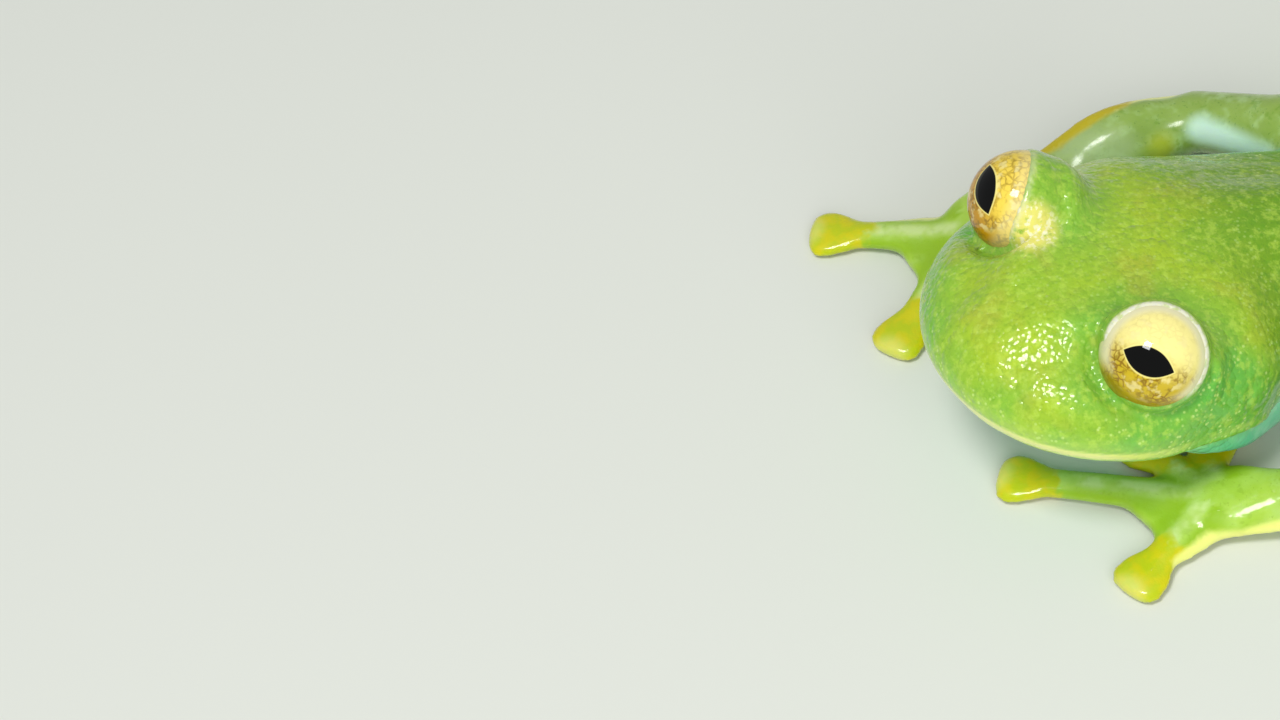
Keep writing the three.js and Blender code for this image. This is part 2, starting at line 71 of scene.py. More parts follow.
# Head and trunk, in millimetres and degrees, as in the solids
HEAD_PITCH = 13
HEAD_TURN = 11
TRUNK_TURN = 34
TURN_SPAN = (0.5, 6.5)
PITCH_SPAN = (1, 14)
HEAD_HALF_WIDTH = 5.06
SNOUT_LENGTH = 5.7
TRUNK_LENGTH = 21.3
SNOUT_ROUNDNESS = 2.07
BACK_HEIGHT = 2.7
HALF_WIDTHS = ((0, 3.6, 6, 8.5, 11.5, 14.5, 17, 19.5, 21.3),
               (5.06, 4.3, 3.85, 3.95, 3.7, 2.95, 2.45, 1.95, 1.5))
EYE_FORWARD = 1.38
EYE_HEIGHT = 2.06
EYE_RADIUS = 1.5

# How far the edge of the upper lip hangs below the widest line of the head
LIP_DROP = 0.45

# Each eye on the head's own axes, as left, back and up: how far the ball sits from the solid's
# place, where the opening of the lids faces and half how wide it is in degrees, where the lower
# lid's edge faces and how high it lies, how pale the lid's edge is, where the pupil looks and the
# way that it is long, the iris below and above, and how strong its net is above the pupil
EYES = {
    "left": {"shift": (0, 0, 0), "opening": (0.551, -0.462, 0.695), "width": 64, "pale": 1.0,
             "lower": (0.345, -0.297, 0.89), "lower_height": -0.5,
             "pupil": (0.533, -0.590, 0.607), "line": (0.845, 0.573, -0.122),
             "iris": ("#cfb424", "#fff39a"), "net": 0.1},
    "right": {"shift": (-0.15, 0.0, 0.13), "opening": (-0.597, -0.753, 0.277), "width": 77, "pale": 0.3,
              "lower": (-0.345, -0.297, 0.89), "lower_height": 0.02,
              "pupil": (-0.178, -0.775, 0.606), "line": (0.716, -0.473, -0.357),
              "iris": ("#c8920e", "#f6d854"), "net": 0.55},
}
LID_RADIUS = 1.56

# The orbit as a ball around the eye and the height where it is cut open; then how far the skin
# may stand from the eye's middle beside and behind it, and how far out it is still drawn in
ORBIT_RADIUS = 1.8
ORBIT_HEIGHT = -0.5
ORBIT_BESIDE = 1.6
ORBIT_BEHIND = 2.05
ORBIT_END = 2.5

# The pupil in radii of the ball: half its length, half its height, and the power that rounds it
PUPIL_LENGTH = 0.49
PUPIL_HEIGHT = 0.255
PUPIL_ROUNDNESS = 2.2

# The brown net of the iris: cells to the millimetre, and the size of the waves that bend it and
# how far they do
NET_CELLS = 6
NET_WAVE = 0.3
NET_BEND = 0.14

# Forms of the head's left side, on its own axes: points along the form, how far the skin stands
# out there, and how wide the form is. They are the blunt edge from eye to nostril, the hollow
# between eye, nostril and lip, and the corner of the jaw
SNOUT_EDGE = (((1.75, -2.2, 2.6), (0.85, -3.2, 2.4), (0.75, -4.5, 1.8)), 0.1, 0.55)
SNOUT_HOLLOW = (((2.95, -2.85, 1.95), (2.03, -3.7, 1.87), (1.3, -4.5, 1.6)), -0.2, 0.75)
JAW_CORNER = (((5.0, -0.4, 0), (4.95, 0.8, 0), (4.8, 2.1, -0.1)), -0.24, 1.0)
NOSTRIL = (1.0, -4.72, 1.5)
EAR = (4.85, 1.25, 0.75)
EAR_RADIUS = 0.5
JAW_SET_BACK = 0.26
LIP_RISE = 0.07

# How far the upper sides of the trunk lie below the solids
BACK_SINK = 0.44

# Skin mesh: spacing of its points, the widest gap that is closed, how far one piece enters the
# next, and the most triangles that are kept
SKIN_SPACING = 0.1
WIDEST_GAP = 0.42
OVERLAP = 0.15
MOST_TRIANGLES = 190000

# Rounds of smoothing are given for points this far apart
ROUNDS_SPACING = 0.13

JOINED = [("head", "torso")] + [
    (outer + side, inner if inner == "torso" else inner + side)
    for side in ("_left", "_right")
    for outer, inner in (("upper_arm", "torso"), ("forearm", "upper_arm"), ("hand", "forearm"),
                         ("thigh", "torso"), ("shank", "thigh"), ("tarsus", "shank"), ("foot", "tarsus"))]

# Limbs before the group is turned: palms and finger tips, inner finger first, and the fold along
# the forearm as share of its length, distance out and height; heels and toes
HANDS = {
    "left": {"side": 1, "shoulder": (4.0, -4.2, 2.0), "elbow": (8.3, -5.6, 1.4),
             "wrist": (5.25, -8.95, 0.8), "palm": (4.0, -10.1, 0.6),
             "fold": ((0.02, 0.92, 1.3), (0.3, 1.14, 1.1), (0.75, 0.94, 0.74)),
             "tips": [(1.9, -8.1), (0.5, -9.9), (-1.3, -13.4), (4.2, -13.8)]},
    "right": {"side": -1, "shoulder": (-2.2, 0.1, 2.3), "elbow": (-5.7, -1.1, 1.25),
              "wrist": (-8.0, -6.6, 0.8), "palm": (-7.8, -8.1, 0.6),
              "fold": ((0.04, 0.7, 1.72), (0.3, 0.8, 1.95), (0.5, 0.72, 1.92), (0.72, 0.6, 1.3)),
              "tips": [(-5.4, -8.7), (-4.6, -11.2), (-6.68, -12.5), (-11.7, -10.95)]},
}
FEET = {
    "left": {"side": 1, "hip": (1.7, 10.2, 2.2), "knee": (10.0, 1.1, 2.5), "ankle": (5.3, 13.4, 1.05),
             "heel": (9.4, 9.4, 0.66), "turn": 18},
    "right": {"side": -1, "hip": (-1.7, 10.2, 2.2), "knee": (-10.5, 2.0, 2.5), "ankle": (-5.4, 13.8, 1.05),
              "heel": (-9.3, 10.2, 0.66), "turn": 26},
}
TOES = [(-36, 5.2), (-23, 6.6), (-11, 8.4), (0, 10.6), (14, 8.7)]
TIP_HEIGHT = 0.2
TRUNK_PIVOT = (0, -6, 0)

# Lumps of flesh over the solids, as half sizes with the last along the limb, and the thickness of
# the fold along the forearm
LUMPS = {
    "socket_fill": (1.4, 1.4, 1.4), "shoulder": (1.1, 1.1, 1.8), "forearm_muscle": (0.8, 0.8, 2.0),
    "hip": (1.3, 1.3, 2.0), "thigh_muscle": (1.4, 1.4, 3.2), "knee": (1.02, 1.02, 1.32),
    "ankle": (0.74, 0.74, 0.95),
}
FOLD_THICKNESS = 0.21

# Where the lumps lie, as shares of upper arm and thigh, and how far out knee and ankle stand
SHOULDER_SHARE = 0.12
THIGH_SHARE = 0.42
JOINT_SHIFT = 0.12

# The fold's points on the hand, from wrist to palm and from palm to the outer finger's tip, as
# share of the length, distance out and height
PALM_FOLD = ((0.3, 0.92, 0.55), (0.95, 0.98, 0.42))
FINGER_FOLD = ((0.32, 0.62, 0.35), (0.56, 0.5, 0.28))

# How far before its tip a disc has its middle, and where the bone begins and ends, from a digit's
# root and before its tip
DISC_MIDDLE = 0.75
BONE_START = 0.3
BONE_END = 1.5

# Edges of the skin's colours along the body: places behind the head's centre, and degrees above
# the widest line
FLANK_EDGE = ((-6, 2, 4.5, 8, 22), (-22, -18, 22, 26, 20))
CROWN_EDGE = ((-5, -2, 1, 3, 8), (-8, 10, 22, 12, 26))
CROWN_SPAN = 42

# The painted highlight beside the right eye, a pale patch of glints on the skin, on the head's own axes
EYE_PAINTED_GLINTS = (1.35, -0.66, 0.54)

# Marks on the right arm: a pale strip, partly pale tissue and partly a painted highlight, a pale veil and a
# gold spot; and the muscle at the middle of its forearm
ARM_TISSUE_AND_PAINTED_SHEEN = ((-4.7, -1.6, 2.0), (-3.4, -1.45, 2.15), (-2.4, -1.4, 2.3))
ARM_VEIL = ((-7.3, -4.3, 1.7), (-6.2, -3.6, 1.8))
ARM_GOLD = (-5.35, -2.55, 1.58)
FOREARM_MUSCLE = (-6.75, -3.2, 1.42)

# Camera, aimed past the eyes' middle so that it lands on this pixel
CAMERA_AZIMUTH = 72.404
CAMERA_ELEVATION = 51.524
CAMERA_ROLL = 6.913
CAMERA_DISTANCE = 131.25
CAMERA_LENS = 134.45
CAMERA_CLIP = (0.005, 10)
SENSOR_WIDTH = 36
IMAGE_WIDTH = 1280
IMAGE_HEIGHT = 720
EYES_PIXEL = (1088, 282)

# Floor in metres, and how far the lamps hang from the eyes, in millimetres
FLOOR_WIDTH = 2
LAMP_DISTANCE = 200


def only(*objects):
    """Selects these objects alone, the first one active."""
    bpy.ops.object.select_all(action="DESELECT")
    for piece in objects:
        piece.select_set(True)
    bpy.context.view_layer.objects.active = objects[0]


def made(name):
    """The object that an operator has just added, named."""
    piece = bpy.context.active_object
    piece.name = name
    piece.data.name = name
    return piece


def modified(piece, kind, **settings):
    """Adds one modifier with its settings and applies it."""
    only(piece)
    bpy.ops.object.modifier_add(type=kind)
    modifier = piece.modifiers[-1]
    for key, value in settings.items():
        setattr(modifier, key, value)
    bpy.ops.object.modifier_apply(modifier=modifier.name)
    return piece


def points_of(piece):
    places = np.empty(len(piece.data.vertices) * 3, np.float32)
    piece.data.vertices.foreach_get("co", places)
    return places.reshape(-1, 3).astype(float)


def normals_of(piece):
    normals = np.empty(len(piece.data.vertices) * 3, np.float32)
    piece.data.vertex_normals.foreach_get("vector", normals)
    return normals.reshape(-1, 3).astype(float)


def set_points(piece, places):
    piece.data.vertices.foreach_set("co", places.astype(np.float32).ravel())
    piece.data.update()


def smoothstep(low, high, value):
    share = np.clip((value - low) / (high - low), 0, 1)
    return share * share * (3 - 2 * share)


def bump(distance, width):
    """One at no distance, falling off to nothing past about two widths."""
    return np.exp(-((distance / width) ** 2))


# Places on the frog
def placed(point):
    """A point laid out before the group was turned and moved."""
    return Matrix.Rotation(math.radians(FROG_TURN), 3, "Z") @ Vector(point) + Vector((*FROG_MOVE, 0))


def with_trunk(point):
    """A point of a leg laid out beside a straight trunk."""
    pivot = Vector(TRUNK_PIVOT)
    return placed(Matrix.Rotation(math.radians(-TRUNK_TURN), 3, "Z") @ (Vector(point) - pivot) + pivot)


def axes(turn, pitch):
    """Left, back and up of head or trunk at one turn and lift, in degrees."""
    turn, pitch = math.radians(turn - FROG_TURN), math.radians(pitch)
    left = Vector((math.cos(turn), -math.sin(turn), 0))
    back = Vector((math.sin(turn) * math.cos(pitch), math.cos(turn) * math.cos(pitch), -math.sin(pitch)))
    return left, back, left.cross(back)


LEFT, BACK, UP = axes(HEAD_TURN, HEAD_PITCH)


def along_head(left, back, up):
    return LEFT * left + BACK * back + UP * up


def middle_of(node):
    low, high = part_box(node)
    return (Vector(low) + Vector(high)) / 2 / MM


EYES_MIDDLE = (middle_of("eye_left") + middle_of("eye_right")) / 2
HEAD_CENTRE = EYES_MIDDLE + along_head(0, EYE_FORWARD, -EYE_HEIGHT)
EYE_PLACES = {name: middle_of("eye_" + name) + along_head(*eye["shift"]) for name, eye in EYES.items()}


def on_head(left, back, up):
    return HEAD_CENTRE + along_head(left, back, up)


def spine():
    """The middle line of head and trunk as rows of place, point and axes."""
    rows, middle, step = [], HEAD_CENTRE.copy(), 0.2
    for place in np.arange(0, TRUNK_LENGTH, step):
        turn = HEAD_TURN + (TRUNK_TURN - HEAD_TURN) * float(smoothstep(*TURN_SPAN, place))
        pitch = HEAD_PITCH * (1 - float(smoothstep(*PITCH_SPAN, place)))
        left, back, up = axes(turn, pitch)
        rows.append((place, middle.copy(), left, up))
        middle += back * step
    return rows


def body_levels(places):
    """Place behind the head's centre, the angle above the widest line, and how far to the side."""
    rows = spine()
    tree = KDTree(len(rows))
    for k, (_, middle, _, _) in enumerate(rows):
        tree.insert(middle, k)
    tree.balance()
    nearest = np.array([tree.find(point)[1] for point in places])
    middles = np.array([row[1] for row in rows])[nearest]
    lefts = np.array([row[2] for row in rows])[nearest]
    ups = np.array([row[3] for row in rows])[nearest]
    place = np.array([row[0] for row in rows])[nearest]
    off = places - middles
    behind = off @ np.array(BACK)
    aside = np.abs((off * lefts).sum(1)) / np.interp(place, *HALF_WIDTHS)
    ahead = np.where(place == 0, np.minimum(behind, 0) / SNOUT_LENGTH, 0)
    above = (off * ups).sum(1) / BACK_HEIGHT
    level = np.degrees(np.arctan2(above, np.hypot(aside, ahead)))
    return np.where(place == 0, np.minimum(behind, 0), place), level, aside


def rim_line(drop=0.0, inset=0.0, steps=200):
    """Points along the upper lip, from behind one corner of the jaw round the snout to the other."""
    line = []
    for k in range(steps + 1):
        angle = math.pi * k / steps
        aside = math.copysign(abs(math.cos(angle)) ** (2 / SNOUT_ROUNDNESS), math.cos(angle))
        ahead = max(math.sin(angle), 0) ** (2 / SNOUT_ROUNDNESS)
        line.append(on_head(aside * (HEAD_HALF_WIDTH - inset), -ahead * (SNOUT_LENGTH - inset), -drop))
    for side in (1, -1):
        ends = [on_head(side * (HEAD_HALF_WIDTH - inset - 0.03 * back), back, -drop - 0.08 * back)
                for back in np.arange(0.1, 2.3, 0.1)]
        line = ends[::-1] + line if side > 0 else line + ends
    return line


def distances(places, line):
    """How far each place is from the nearest point of a line of points."""
    tree = KDTree(len(line))
    for k, point in enumerate(line):
        tree.insert(point, k)
    tree.balance()
    return np.array([tree.find(place)[2] for place in places])


def between(points, step=0.1):
    """Points every step along straight stretches."""
    line = []
    for start, end in zip(points, points[1:]):
        count = max(1, int((end - start).length / step))
        line += [start.lerp(end, k / count) for k in range(count)]
    return line + [Vector(points[-1])]


def toe_tips(foot):
    heel = Vector(foot["heel"])
    tips = []
    for turn, length in TOES:
        heading = math.radians(foot["turn"] + turn)
        tips.append(with_trunk((heel.x + foot["side"] * length * math.sin(heading),
                                heel.y - length * math.cos(heading), TIP_HEIGHT)))
    return tips


def digit_lines():
    """Each finger and toe as its root and its tip."""
    lines = []
    for arm in HANDS.values():
        lines += [(placed(arm["palm"]), placed((*tip, TIP_HEIGHT))) for tip in arm["tips"]]
    for foot in FEET.values():
        lines += [(with_trunk(foot["heel"]), tip) for tip in toe_tips(foot)]
    return lines


# Skin, drawn from the solids
FLESH = [name for name in frame["nodes"] if not name.startswith("eye")]


def copy_of(node):
    """A copy of a solid, free of its frame, merged, at one unit to the millimetre."""
    only(frame["nodes"][node])
    bpy.ops.object.duplicate()
    piece = made("skin_" + node)
    bpy.ops.object.parent_clear(type="CLEAR_KEEP_TRANSFORM")
    for key in list(piece.keys()):
        del piece[key]
    piece.data.materials.clear()
    bpy.ops.object.mode_set(mode="EDIT")
    bpy.ops.mesh.select_all(action="SELECT")
    bpy.ops.mesh.remove_doubles(threshold=1e-7)
    bpy.ops.object.mode_set(mode="OBJECT")
    bpy.ops.transform.resize(value=(1 / MM, 1 / MM, 1 / MM), center_override=(0, 0, 0))
    bpy.ops.object.transform_apply(location=True, rotation=True, scale=True)
    return piece


def tree_of(pieces):
    """A search tree over the faces of some pieces."""
    corners, faces = [], []
    for piece in pieces:
        start = len(corners)
        corners += [v.co for v in piece.data.vertices]
        faces += [[start + k for k in face.vertices] for face in piece.data.polygons]
    return BVHTree.FromPolygons(corners, faces)


def bridge(piece, neighbour):
    """Moves the cut face of one piece across its gap and into its neighbour."""
    tree = tree_of([neighbour])
    places = points_of(piece)
    for k, place in enumerate(places):
        nearest, _, _, gap = tree.find_nearest(Vector(place))
        if gap < WIDEST_GAP:
            places[k] = nearest + (nearest - Vector(place)).normalized() * OVERLAP
    set_points(piece, places)


def oval(name, centre, size, axis=(0, 0, 1)):
    """A smooth lump of flesh, long along its axis, to be fused with the skin."""
    bpy.ops.object.select_all(action="DESELECT")
    turn = Vector(axis).to_track_quat("Z", "Y").to_euler()
    bpy.ops.mesh.primitive_uv_sphere_add(segments=48, ring_count=32, radius=1, location=centre,
                                         rotation=turn, scale=size)
    bpy.ops.object.transform_apply(location=True, rotation=True, scale=True)
    return made(name)


def cup(eye, radius, open_at, facing="opening"):
    """Lids as a ball around the eye, cut open square to the way that their opening faces."""
    place = EYE_PLACES[eye]
    facing = along_head(*EYES[eye][facing]).normalized()
    lids = oval("lids_" + eye, place, (radius, radius, radius), facing)
    only(lids)
    bpy.ops.object.mode_set(mode="EDIT")
    bpy.ops.mesh.select_all(action="SELECT")
    bpy.ops.mesh.bisect(plane_co=place + facing * open_at, plane_no=facing, use_fill=True, clear_outer=True)
    bpy.ops.object.mode_set(mode="OBJECT")
    return lids


def cordlet(name, points, thickness):
    """A low round fold along a line of points, tapering at both ends."""
    bpy.ops.object.select_all(action="DESELECT")
    bpy.ops.curve.primitive_nurbs_path_add()
    piece = made(name)
    curve = piece.data
    curve.splines.clear()
    spline = curve.splines.new("NURBS")
    spline.points.add(len(points) - 1)
    for k, point in enumerate(points):
        spline.points[k].co = (*point, 1)
        spline.points[k].radius = 0.4 if k in (0, len(points) - 1) else 1.0
    spline.use_endpoint_u = True
    spline.order_u = 3
    curve.dimensions = "3D"
    curve.bevel_depth = thickness
    curve.bevel_resolution = 4
    curve.use_fill_caps = True
    only(piece)
    bpy.ops.object.convert(target="MESH")
    bpy.ops.object.transform_apply(location=True, rotation=True, scale=True)
    return made(name)


def arm_fold_points(arm):
    """The pale fold along the outer edge, from the elbow to the outer finger's disc."""
    elbow, wrist, palm = (Vector(arm[key]) for key in ("elbow", "wrist", "palm"))
    tip = Vector((*arm["tips"][3], TIP_HEIGHT))

    def beside(start, end, share, out, height):
        heading = (end - start).normalized()
        away = Vector((-heading.y, heading.x, 0)).normalized() * arm["side"]
        place = start.lerp(end, share) + away * out
        return placed((place.x, place.y, height))

    stretches = ((elbow, wrist, arm["fold"]), (wrist, palm, PALM_FOLD), (palm, tip, FINGER_FOLD))
    return [beside(start, end, *row) for start, end, rows in stretches for row in rows]


def body_parts():
    """The solids with their gaps closed, and flesh over shoulders, hips and arms."""
    pieces = {node: copy_of(node) for node in FLESH}
    for outer, inner in JOINED:
        bridge(pieces[outer], pieces[inner])
    parts = list(pieces.values())
    for place in EYE_PLACES.values():
        parts.append(oval("socket_fill", place, LUMPS["socket_fill"]))
    for arm in HANDS.values():
        shoulder, elbow = placed(arm["shoulder"]), placed(arm["elbow"])
        centre = shoulder.lerp(elbow, SHOULDER_SHARE)
        parts.append(oval("shoulder", centre, LUMPS["shoulder"], elbow - shoulder))
        parts.append(cordlet("arm_fold", arm_fold_points(arm), FOLD_THICKNESS))
    muscle = placed(FOREARM_MUSCLE)
    along = placed(HANDS["right"]["wrist"]) - muscle
    parts.append(oval("forearm_muscle", muscle, LUMPS["forearm_muscle"], along))
    for foot in FEET.values():
        hip, knee, ankle, heel = (with_trunk(foot[key]) for key in ("hip", "knee", "ankle", "heel"))
        parts.append(oval("hip", hip, LUMPS["hip"], knee - hip))
        centre = hip.lerp(knee, THIGH_SHARE)
        parts.append(oval("thigh_muscle", centre, LUMPS["thigh_muscle"], knee - hip))
        for name, joint, start, end in (("knee", knee, hip, ankle), ("ankle", ankle, knee, heel)):
            first, second = (start - joint).normalized(), (end - joint).normalized()
            centre = joint - (first + second).normalized() * JOINT_SHIFT
            parts.append(oval("joint", centre, LUMPS[name], first - second))
    return parts


def fused(parts, name):
    """Parts joined into one closed skin with evenly spaced points."""
    only(*parts)
    if len(parts) > 1:
        bpy.ops.object.join()
    skin = made(name)
    return modified(skin, "REMESH", mode="VOXEL", voxel_size=SKIN_SPACING, adaptivity=0)


def group_of(piece, name, weights):
    """A vertex group with one weight for each point, in steps of a twentieth."""
    group = piece.vertex_groups.new(name=name)
    steps = np.round(np.clip(weights, 0, 1) * 20).astype(int)
    for step in range(1, 21):
        group.add(np.flatnonzero(steps == step).tolist(), step / 20, "REPLACE")


def smoothed(skin, rounds, group=""):
    """Smooths the skin, or one group of its points, as often as its spacing asks for."""
    rounds *= (ROUNDS_SPACING / SKIN_SPACING) ** 2
    modified(skin, "SMOOTH", factor=0.5, iterations=int(rounds), vertex_group=group)


def nearness(places, nodes):
    """How far each point is from the surface of some solids, in millimetres."""
    tree = tree_of([frame["nodes"][node] for node in nodes])
    return np.array([tree.find_nearest(place)[3] for place in places * MM]) / MM


BODY = ["head", "torso"]
DIGITS = [name for name in FLESH if name.startswith(("hand", "foot"))]
LIMBS = [name for name in FLESH if name not in BODY]
ARMS = [name for name in FLESH if "arm" in name]


def smooth_skin(skin):
    """Takes the facets off, most on head and trunk and least on fingers and toes."""
    places = points_of(skin)
    off_digit = smoothstep(0.1, 0.5, nearness(places, DIGITS))
    limb = smoothstep(-0.6, 0.5, nearness(places, BODY) - nearness(places, LIMBS))
    group_of(skin, "body", 1 - limb)
    group_of(skin, "limbs", np.maximum(off_digit, 0.25))
    smoothed(skin, 4)
    smoothed(skin, 10, "limbs")
    smoothed(skin, 28, "body")
    return skin


def around_eye(eye, places):
    """Distance from the eye's centre, and angle from the way that the lids' opening faces."""
    off = places - np.array(EYE_PLACES[eye])
    reach = np.linalg.norm(off, axis=1)
    facing = np.array(along_head(*EYES[eye]["opening"]).normalized())
    return off, reach, np.degrees(np.arccos(np.clip(off @ facing / np.maximum(reach, 1e-6), -1, 1)))


def settle_orbits(skin):
    """Draws the skin behind each eye close over the ball, so that no crest stands round it."""
    places = points_of(skin)
    for eye in EYES:
        off, reach, angle = around_eye(eye, places)
        height = off @ np.array(UP)
        most = ORBIT_BESIDE + (ORBIT_BEHIND - ORBIT_BESIDE) * smoothstep(95, 150, angle)
        over = (reach > most) & (reach < ORBIT_END) & (height > 0.2)
        pull = (reach - most) * (1 - smoothstep(ORBIT_BEHIND, ORBIT_END, reach))
        pull *= smoothstep(0.2, 0.8, height)
        places = places - np.where(over, pull / reach, 0)[:, None] * off
    set_points(skin, places)
    return skin


def shape_head(skin):
    """Sets the lower jaw back under the lip, opens the nostrils, and marks the ear discs."""
    places = points_of(skin)
    normals = normals_of(skin)
    off = places - np.array(HEAD_CENTRE)
    height, behind = off @ np.array(UP), off @ np.array(BACK)
    jaw = smoothstep(3.2, 1.6, behind) * smoothstep(-2.0, -1.0, height)
    jaw *= smoothstep(-LIP_DROP, -LIP_DROP - 0.12, height)
    flat = off - height[:, None] * np.array(UP)
    flat /= np.maximum(np.linalg.norm(flat, axis=1), 1e-6)[:, None]
    outside = smoothstep(0.2, 0.6, (normals * flat).sum(1))
    places = places - flat * (JAW_SET_BACK * jaw * outside)[:, None]
    push = LIP_RISE * bump(distances(places, rim_line(drop=LIP_DROP - 0.1, inset=0.1)), 0.16)
    for side in (1, -1):
        for points, rise, width in (SNOUT_EDGE, SNOUT_HOLLOW, JAW_CORNER):
            line = between([on_head(side * left, back, up) for left, back, up in points])
            push += rise * bump(distances(places, line), width)
        nostril, ear = (distances(places, [on_head(side * left, back, up)])
                        for left, back, up in (NOSTRIL, EAR))
        push += 0.1 * bump(nostril, 0.36) - 0.26 * bump(nostril, 0.13)
        push -= 0.05 * bump(ear - EAR_RADIUS, 0.1)
    set_points(skin, places + normals * push[:, None])


def smooth_near_eyes(skin, name, weight_of, rounds):
    """Smooths the skin around both eyes, by a weight from distance and angle for each eye."""
    places = points_of(skin)
    weights = np.zeros(len(places))
    for eye in EYES:
        _, reach, angle = around_eye(eye, places)
        weights = np.maximum(weights, weight_of(reach, angle - EYES[eye]["width"]))
    group_of(skin, name, weights)
    smoothed(skin, rounds, name)


def shape_back(skin):
    """Lets the upper sides of the trunk fall away a little more than in the solids."""
    places = points_of(skin)
    place, level, aside = body_levels(places)
    sink = smoothstep(1.6, 4.5, place) * smoothstep(15, 10, place) * smoothstep(0.1, 0.55, aside)
    sink *= smoothstep(15, 40, level) * smoothstep(0.9, 0.3, nearness(places, BODY))
    set_points(skin, places - normals_of(skin) * (BACK_SINK * sink)[:, None])


def make_skin():
    """One closed skin over head, trunk and limbs, with lids and folds fused in."""
    skin = settle_orbits(smooth_skin(fused(body_parts(), "body")))
    orbits = [cup(eye, ORBIT_RADIUS, ORBIT_HEIGHT, "lower") for eye in EYES]
    skin = settle_orbits(fused([skin] + orbits, "body"))
    smooth_near_eyes(skin, "orbits", lambda reach, past: smoothstep(3.2, 1.9, reach), 36)
    lids = []
    for name, eye in EYES.items():
        lids.append(cup(name, LID_RADIUS, EYE_RADIUS * math.cos(math.radians(eye["width"]))))
        lids.append(cup(name, LID_RADIUS, eye["lower_height"], "lower"))
    skin = fused([skin] + lids, "skin")
    modified(skin, "SMOOTH", factor=0.5, iterations=2)
    smooth_near_eyes(skin, "lids",
                     lambda reach, past: smoothstep(3.0, 2.2, reach) * smoothstep(4, 14, past), 8)
    shape_back(skin)
    shape_head(skin)
    count = sum(len(face.vertices) - 2 for face in skin.data.polygons)
    print("skin triangles before thinning:", count)
    if count > MOST_TRIANGLES:
        modified(skin, "DECIMATE", ratio=MOST_TRIANGLES / count)
    return skin


def paint(piece, name, values):
    """One number for each point of the skin, for the material to read."""
    layer = piece.data.attributes.new(name, "FLOAT", "POINT")
    layer.data.foreach_set("value", np.clip(values, 0, 1).astype(np.float32))


def paint_skin(skin):
    """Marks the regions of the skin by where they lie on the frog."""
    places = points_of(skin)
    body, limb, digit = nearness(places, BODY), nearness(places, LIMBS), nearness(places, DIGITS)
    place, level, _ = body_levels(places)
    limbs = smoothstep(-0.45, 0.35, body - limb)
    edge = np.interp(place, *FLANK_EDGE)
    soft = np.interp(place, (0, 6), (9, 5))
    paint(skin, "limb", limbs)
    paint(skin, "crown", (level - np.interp(place, *CROWN_EDGE)) / CROWN_SPAN)
    paint(skin, "trunk", smoothstep(0, 4.5, place))
    paint(skin, "flank", (1 - limbs) * smoothstep(edge + soft, edge - soft, level))
    paint(skin, "belly", (1 - limbs) * smoothstep(edge - 16, edge - 34, level) * smoothstep(3, 8, place))
    # Upper arms and forearms: painted darker olive as a painted shade, and given a rougher wet film
    paint(skin, "arm", smoothstep(1.2, 0.2, nearness(places, ARMS)) * smoothstep(0.0, 1.6, digit))
    paint(skin, "digit", smoothstep(1.1, 0.0, digit) * smoothstep(-0.2, 0.3, body - digit))
    paint_digits(skin, places, smoothstep(0.6, 0.1, digit))
    front = smoothstep(-1.2, -3.6, (places - np.array(HEAD_CENTRE)) @ np.array(BACK))
    rim = distances(places, rim_line(drop=0.08))
    paint(skin, "lip", (0.35 + 0.65 * front) * smoothstep(0.23, 0.12, rim))
    paint(skin, "lip_skirt", front * smoothstep(0.9, 0.2, rim))
    folds = [point for arm in HANDS.values() for point in between(arm_fold_points(arm))]
    streak = between(arm_fold_points(HANDS["right"])[1:4])
    # The pale strip along the right arm is partly pale tissue and partly a painted highlight of the wet
    # skin
    tissue_and_painted_sheen, veil = (between([placed(point) for point in line]) for line in (ARM_TISSUE_AND_PAINTED_SHEEN, ARM_VEIL))
    # Painted highlight: a pale patch of glints on the skin beside the right eye
    glint_spot = EYE_PLACES["right"] + along_head(*EYE_PAINTED_GLINTS)
    for name, line, outer, inner in (
            ("fold", folds, 0.34, 0.2), ("streak", streak, 0.5, 0.25), ("tissue_and_painted_sheen", tissue_and_painted_sheen, 0.7, 0.15),
            ("veil", veil, 1.0, 0.2), ("arm_gold", [placed(ARM_GOLD)], 0.65, 0.15),
            ("painted_eye_glints", [glint_spot], 1.0, 0.45)):
        paint(skin, name, smoothstep(outer, inner, distances(places, line)))
    paint_lids(skin, places)


def paint_digits(skin, places, near):
    """Marks the discs and their edges, and the fringe of skin and the bone along each digit."""
    tip, rim, bone = (np.full(len(places), np.inf) for _ in range(3))
    for root, end in digit_lines():
        heading = (end - root).normalized()
        tip = np.minimum(tip, distances(places, [end - heading * DISC_MIDDLE]))
        rim = np.minimum(rim, distances(places, [end]))
        off = places - np.array(root)
        along = off @ np.array(heading)
        beside = np.linalg.norm((off - along[:, None] * np.array(heading))[:, :2], axis=1)
        shaft = (along > BONE_START) & (along < (end - root).length - BONE_END)
        bone = np.minimum(bone, np.where(shaft, beside, np.inf))
    paint(skin, "disc", smoothstep(1.8, 0.6, tip))
    paint(skin, "disc_edge", smoothstep(0.75, 0.35, rim))
    paint(skin, "fringe", smoothstep(0.22, 0.4, bone) * smoothstep(1.2, 0.6, bone) * near)
    paint(skin, "bone", smoothstep(0.3, 0.08, bone) * near)


def paint_lids(skin, places):
    """Marks the pale edges of the lids and the ring of darker skin around each eye."""
    lid, ring = np.zeros(len(places)), np.zeros(len(places))
    for name, eye in EYES.items():
        off, reach, angle = around_eye(name, places)
        upper = smoothstep(-0.5, 0.1, off @ np.array(UP)) * eye["pale"]
        edge = smoothstep(1.66, 1.6, reach) * smoothstep(eye["width"] + 9, eye["width"] + 5, angle)
        lid = np.maximum(lid, upper * edge)
        ring = np.maximum(ring, smoothstep(3.2, 1.85, reach))
    paint(skin, "lid", lid)
    paint(skin, "eye_ring", ring * (1 - lid))


